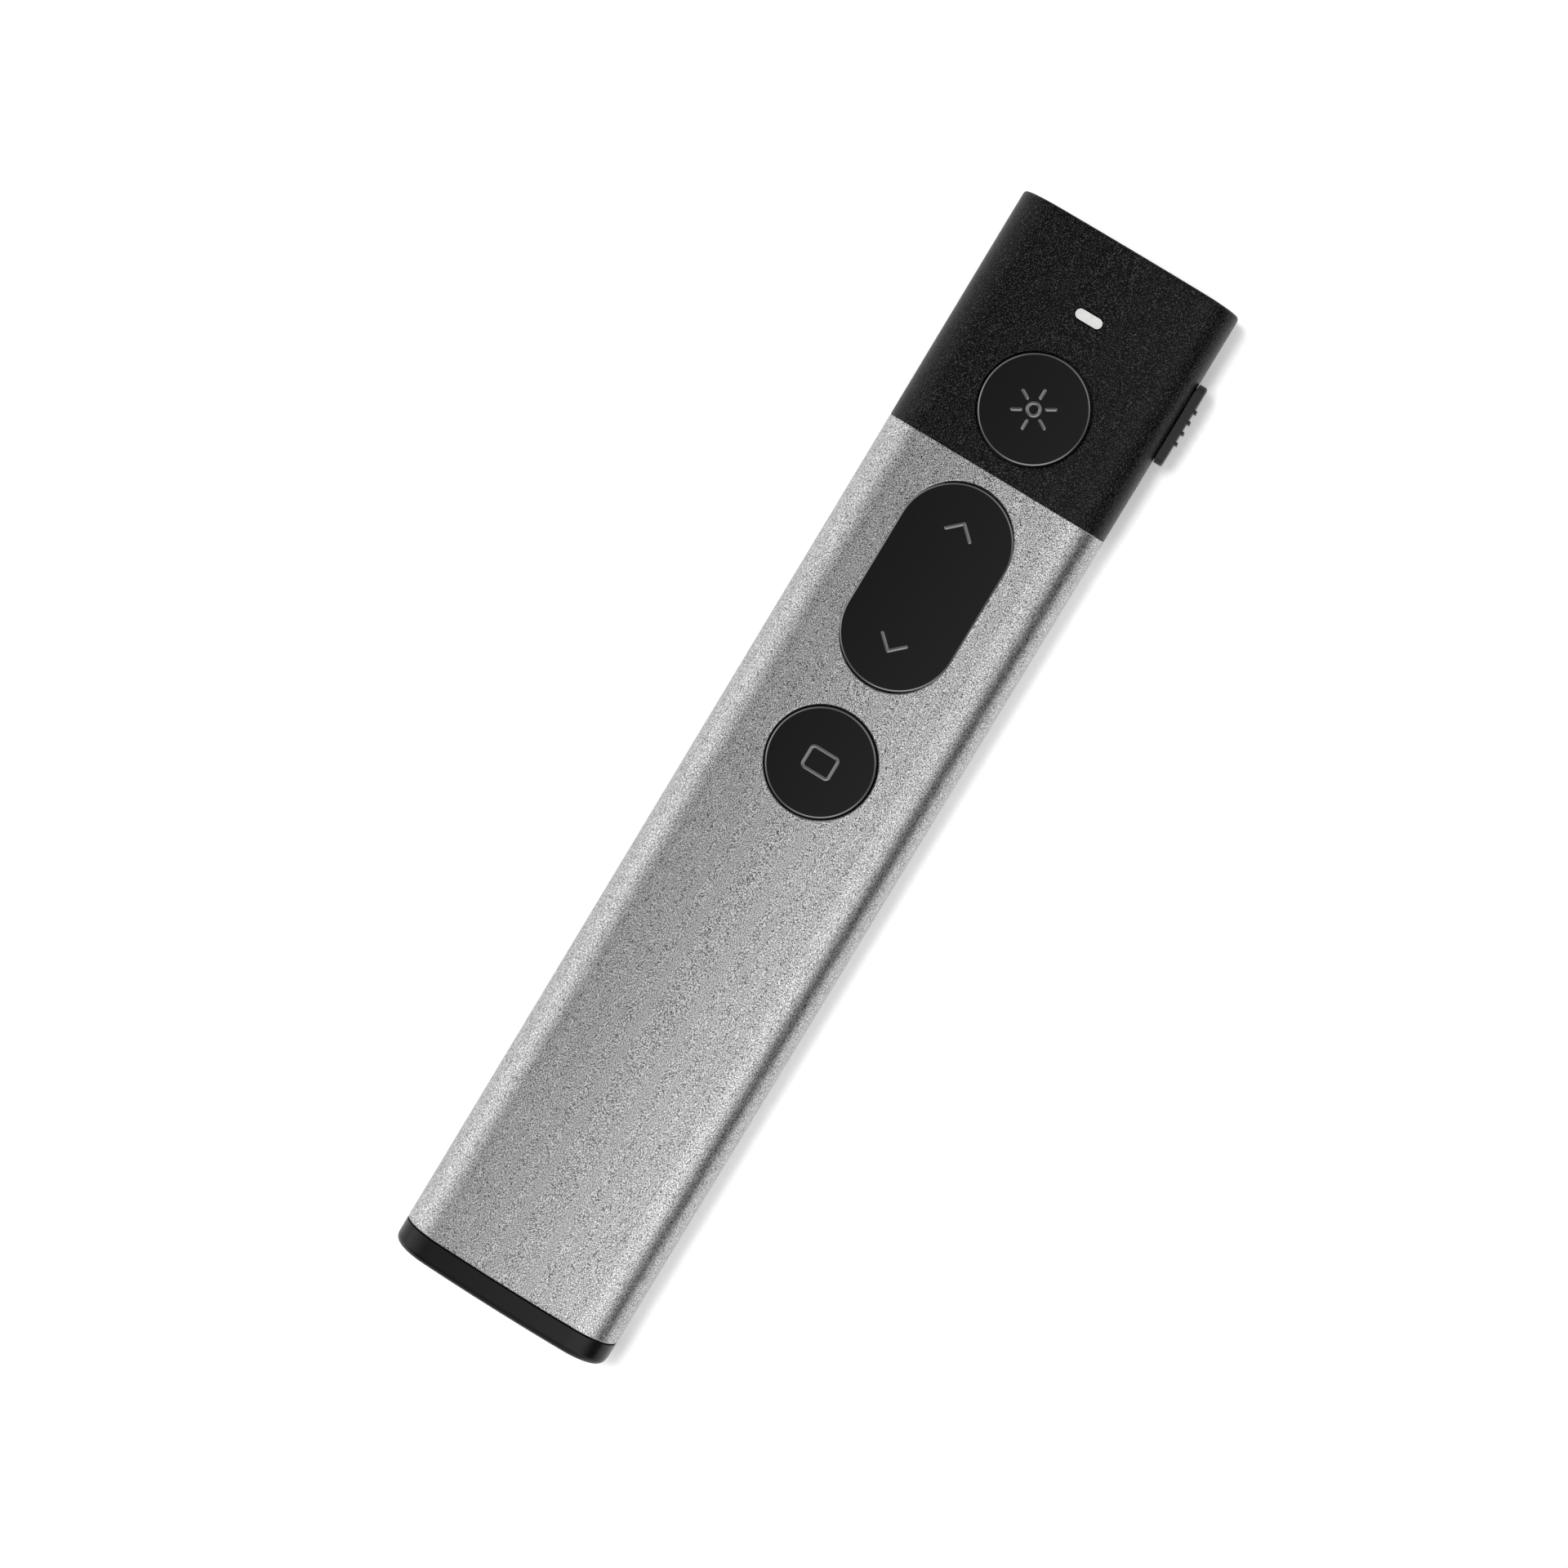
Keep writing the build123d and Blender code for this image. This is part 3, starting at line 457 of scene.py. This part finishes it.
def solder_mask():
    made = new_material("solder_mask", (0.02, 0.12, 0.05), 0.3)
    tracks = noise(made, 1.2 * mm, 1.0, (1, 3, 1))
    vary_color(made, tracks, (0.014, 0.095, 0.040), (0.030, 0.150, 0.065))
    bump(made, [(tracks, 0.02 * mm, 0.4)])
    return made


def chip_package():
    made = new_material("chip_package", grey(0.028), 0.45)
    grain = noise(made, 0.1 * mm, 2.0)
    vary_color(made, grain, grey(0.022), grey(0.036))
    bump(made, [(grain, 0.006 * mm, 0.5)])
    return made


def led_body():
    made = new_material("led_body", (0.75, 0.73, 0.62), 0.2)
    cloud = noise(made, 0.3 * mm, 1.0)
    vary_color(made, cloud, (0.72, 0.70, 0.58), (0.80, 0.78, 0.68))
    return made


def silicone():
    made = new_material("silicone", (0.55, 0.56, 0.57), 0.55, Subsurface_Weight=0.2)
    dust = noise(made, 0.5 * mm, 3.0)
    vary_color(made, dust, (0.50, 0.51, 0.52), (0.60, 0.61, 0.62))
    bump(made, [(dust, 0.006 * mm, 0.4)])
    return made


def open_foam():
    made = new_material("open_foam", grey(0.09), 0.95)
    cells = noise(made, 0.25 * mm, 3.0)
    vary_color(made, cells, grey(0.05), grey(0.12))
    bump(made, [(cells, 0.08 * mm, 1.0)])
    return made


def pouch_foil():
    made = new_material("pouch_foil", (0.68, 0.69, 0.70), 0.32, 1.0)
    creases = noise(made, 2.2 * mm, 3.0)
    vary_roughness(made, creases, 0.24, 0.40)
    bump(made, [(creases, 0.06 * mm, 0.6)])
    return made


def paint_nodes():
    """Gives every CAD node its finished material."""
    steel = plain_metal("plated_steel", (0.62, 0.62, 0.62), 0.20, 0.34, (1, 4, 4))
    package = chip_package()
    moulding = inner_moulding()
    rubber = silicone()
    mask = solder_mask()
    finishes = {
        "anodised_aluminium": blasted_aluminium(),
        "textured_black_plastic": eroded_black(),
        "satin_black_keys": satin_key(),
        "gloss_black_cap": gloss_cap(),
        "slider_black": slider_black(),
        "light_pipe_white": milky_lens(),
        "smoked_window": tinted_glass("smoked_window", (0.10, 0.02, 0.02)),
        "clear_lens": tinted_glass("clear_lens", (0.95, 0.95, 0.95)),
        "machined_brass": plain_metal("machined_brass", (0.72, 0.53, 0.26), 0.18, 0.30, (0.2, 4, 4)),
        "plated_steel": steel,
        "gold_contacts": plain_metal("gold_contacts", (0.83, 0.62, 0.28), 0.14, 0.24),
        "inner_plastic": moulding,
        "board_green": mask,
        "chip_black": package,
        "led_package": led_body(),
        "silicone_rubber": rubber,
        "foam": open_foam(),
        "pouch_foil": pouch_foil(),
        "screw_steel": plain_metal("screw_steel", (0.45, 0.45, 0.46), 0.28, 0.42),
    }
    for part in frame["record"]["subparts"]:
        node = nodes[part["node"]]
        node.data.materials.clear()
        node.data.materials.append(finishes[part["material_slot"]])
    return finishes


# ------------------------------------------------------------------ keycaps
def crown_height(y, proud=0.0):
    """Height of the crowned top above the underside, raised by a constant amount."""
    centre = body_thickness - crown_radius
    return centre + np.sqrt((crown_radius + proud) ** 2 - y ** 2)


def segment_distance(x, y, start, end):
    """Distance from points to a line segment."""
    ax, ay = start
    bx, by = end
    dx, dy = bx - ax, by - ay
    share = np.clip(((x - ax) * dx + (y - ay) * dy) / (dx * dx + dy * dy), 0, 1)
    return np.hypot(x - ax - share * dx, y - ay - share * dy)


def sun_distance(x, y):
    """Ring with rays, for the laser key."""
    found = np.abs(np.hypot(x, y) - sun_radius)
    for index in range(sun_rays):
        angle = 2 * math.pi * index / sun_rays
        way = (math.cos(angle), math.sin(angle))
        start = (way[0] * sun_ray_start, way[1] * sun_ray_start)
        end = (way[0] * sun_ray_end, way[1] * sun_ray_end)
        found = np.minimum(found, segment_distance(x, y, start, end))
    return found


def chevron_distance(x, y):
    """An arrow head near each end of the rocker, pointing outwards."""
    found = np.full_like(x, 1.0)
    for side in (-1, 1):
        apex = (side * chevron_apex, 0.0)
        for hand in (-1, 1):
            foot = (side * (chevron_apex - chevron_depth), hand * chevron_half_span)
            found = np.minimum(found, segment_distance(x, y, apex, foot))
    return found


def frame_distance(x, y):
    """Outline of a screen with round corners, for the screen key."""
    half_x, half_y = frame_icon_half
    qx = np.abs(x) - half_x + frame_icon_corner
    qy = np.abs(y) - half_y + frame_icon_corner
    outside = np.hypot(np.maximum(qx, 0), np.maximum(qy, 0))
    inside = np.minimum(np.maximum(qx, qy), 0)
    return np.abs(outside + inside - frame_icon_corner)


def ridge(distance):
    """Height of a raised line with a flat top and sloping sides, from the distance to its middle."""
    share = (sign_half_width - distance) / (sign_half_width - sign_top_half_width)
    return sign_height * np.clip(share, 0, 1)


def ring_points(length, diameter, radius, count):
    """Points of a pill outline around the key's middle line, at a distance from that line."""
    straight = (length - diameter) / 2
    angles = (np.arange(count) + 0.5) * 2 * math.pi / count
    x = radius * np.cos(angles) + np.sign(np.cos(angles)) * straight
    return x, radius * np.sin(angles)


def loft(rings):
    """Faces between rings of equal length, listed from the top down, with both ends closed."""
    count = len(rings[0])
    verts = [tuple(p) for ring in rings for p in ring]
    faces = [tuple(range(count))]
    for r in range(len(rings) - 1):
        for i in range(count):
            j = (i + 1) % count
            faces.append((r * count + i, (r + 1) * count + i, (r + 1) * count + j, r * count + j))
    last = (len(rings) - 1) * count
    faces.append(tuple(reversed(range(last, last + count))))
    return verts, faces


def add_shells(name, shells, material):
    """One object from closed shells, each a list of rings, smooth but for its sharp edges."""
    verts, faces = [], []
    for rings in shells:
        points, sides = loft(rings)
        faces += [tuple(index + len(verts) for index in side) for side in sides]
        verts += points
    mesh = bpy.data.meshes.new(name)
    mesh.from_pydata(verts, [], faces)
    mesh.polygons.foreach_set("use_smooth", [True] * len(mesh.polygons))
    mesh.set_sharp_from_angle(angle=math.radians(sharp_angle))
    mesh.materials.append(material)
    mesh.update()
    made = bpy.data.objects.new(name, mesh)
    bpy.context.scene.collection.objects.link(made)
    return made


def block_rings(x, y, z):
    """Block between a (low, high) pair on each axis, with its lower edges broken."""
    rings = []
    for inset, height in ((0, z[1]), (0, z[0] + edge_break), (edge_break, z[0])):
        x0, x1 = x[0] + inset, x[1] - inset
        y0, y1 = y[0] + inset, y[1] - inset
        rings.append([(x1, y1, height), (x0, y1, height), (x0, y0, height), (x1, y0, height)])
    return rings


def pin_rings(root, tip, radius):
    """Round pin from its root to its tip, with the edge at the tip broken."""
    way = Vector(root) - Vector(tip)
    turn = way.to_track_quat("Z", "Y")
    rings = []
    for height, wide in ((way.length, radius), (edge_break, radius), (0, radius - edge_break)):
        angles = [2 * math.pi * k / pin_segments for k in range(pin_segments)]
        points = [Vector((wide * math.cos(a), wide * math.sin(a), height)) for a in angles]
        rings.append([Vector(tip) + turn @ point for point in points])
    return rings


def leg_rings(x, side, bottom, outside=leg_outside):
    """Leg under a key, from its inner face to the given outside."""
    y = sorted((side * leg_inside, side * outside))
    return block_rings((x - leg_half_width, x + leg_half_width), y, bottom)


def round_key_shells(x, ceiling):
    """Boss over the dome, and two barbed legs."""
    shells = [pin_rings((x, 0, ceiling), (x, 0, boss_bottom), boss_radius)]
    for side in (-1, 1):
        shells.append(leg_rings(x, side, (leg_bottom, ceiling)))
        shells.append(leg_rings(x, side, (leg_bottom, leg_bottom + barb_height), barb_outside))
    return shells


def rocker_shells(x, ceiling):
    """A boss over each dome, and two legs with the trunnions the rocker turns on."""
    shells = []
    for side in (-1, 1):
        boss_x = x + side * rocker_boss_offset
        shells.append(pin_rings((boss_x, 0, ceiling), (boss_x, 0, boss_bottom), boss_radius))
        shells.append(leg_rings(x, side, (rocker_leg_bottom, ceiling)))
        root = (x, side * leg_inside, trunnion_level)
        shells.append(pin_rings(root, (x, side * trunnion_end, trunnion_level), trunnion_radius))
    return shells


def key_surface(centre_x, length, diameter, distance):
    """Rings of a keycap from the middle of its top, over its rounded edge, to its hollow inside."""
    count = key_segments
    outer = diameter / 2
    flat = outer - key_edge_width - key_edge_round * (1 - math.sin(math.radians(key_edge_slope)))
    edge_drop = key_edge_width * math.tan(math.radians(key_edge_slope))
    rings = []

    def ring(radius, height):
        x, y = ring_points(length, diameter, radius, count)
        z = np.full_like(x, height) if np.isscalar(height) else height(x, y)
        rings.append(np.column_stack((x + centre_x, y, z)))

    def top(x, y):
        return crown_height(y, key_proud) + ridge(distance(x, y))

    for radius in np.linspace(ring_step / 2, flat, int(flat / ring_step))[:-1]:
        ring(radius, top)
    for share in key_edge_shares:
        ring(flat + share * key_edge_width, lambda x, y: crown_height(y, key_proud) - share * edge_drop)
    for turn in key_edge_turns:
        angle, slope = math.radians(turn), math.radians(key_edge_slope)
        reach = key_edge_round * (math.sin(angle) - math.sin(slope))
        drop = edge_drop + key_edge_round * (math.cos(slope) - math.cos(angle))
        ring(flat + key_edge_width + reach, lambda x, y: crown_height(y, key_proud) - drop)
    wall_top = crown_height(0, key_proud) - key_plate
    inner = outer - key_skirt_wall
    ring(outer, key_skirt_bottom)
    ring(inner, key_skirt_bottom)
    ring(inner, wall_top)
    ring(ring_step, wall_top)
    return rings


def add_key(name, node, body, distance, underside, material):
    """Keycap in its CAD piece's place, with the sign that the distance draws and its underside's shells."""
    low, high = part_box(node)
    centre_x = (low.x + high.x) / 2
    ceiling = crown_height(0, key_proud) - key_plate + key_merge
    shells = [key_surface(centre_x, high.x - low.x, high.y - low.y, distance)]
    shells += underside(centre_x, ceiling)
    made = add_shells(name, shells, material)
    places = np.empty(3 * len(made.data.vertices))
    made.data.vertices.foreach_get("co", places)
    raised = places[2::3] - crown_height(places[1::3], key_proud)
    sign = np.clip(sign_polish_gain * raised / sign_height, 0, 1)
    rim = rim_polish * ((raised < -key_flush) & (raised > -rim_depth))
    polish = made.data.attributes.new("polish", "FLOAT", "POINT")
    polish.data.foreach_set("value", np.maximum(sign, rim))
    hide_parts(node)
    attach(made, body)
    return made


def add_dome(node, material):
    """Rubber dome under a key, with a dimple where the boss presses."""
    low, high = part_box(node)
    x = (low.x + high.x) / 2
    rings = []
    for radius, height in dome_hollow[:0:-1] + dome_outside + dome_inside + dome_hollow[:1]:
        angles = [2 * math.pi * k / dome_segments for k in range(dome_segments)]
        z = low.z + height * mm
        rings.append([(x + radius * mm * math.cos(a), radius * mm * math.sin(a), z) for a in angles])
    made = add_shells(node + "_rubber", [rings], material)
    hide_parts(node)
    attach(made, "handset")
    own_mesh(made)


# ------------------------------------------------------------------ scene
bpy.context.scene.view_settings.view_transform = "Standard"
add_camera()
set_world()
shadow_lamp = add_softbox("shadow_lamp", *shadow_lamp_place, shadow_lamp_size, shadow_lamp_radiance)
shadow_lamp.visible_glossy = False
add_floor()
finishes = paint_nodes()
satin = finishes["satin_black_keys"]
keys = [
    add_key("laser_key_top", "laser_keycap", "laser_key", sun_distance, round_key_shells, satin),
    add_key("page_rocker_top", "page_rocker", "page_key", chevron_distance, rocker_shells, satin),
    add_key("screen_key_top", "screen_keycap", "screen_key", frame_distance, round_key_shells, satin),
]
for node, joint in (("laser_key_dome", "laser_press"), ("screen_key_dome", "screen_press"),
                    ("forward_key_dome", "page_rock"), ("back_key_dome", "page_rock")):
    add_dome(node, finishes["silicone_rubber"])
light_only(add_softbox("key_lamp", *key_lamp_place, key_lamp_size, key_lamp_radiance), keys)
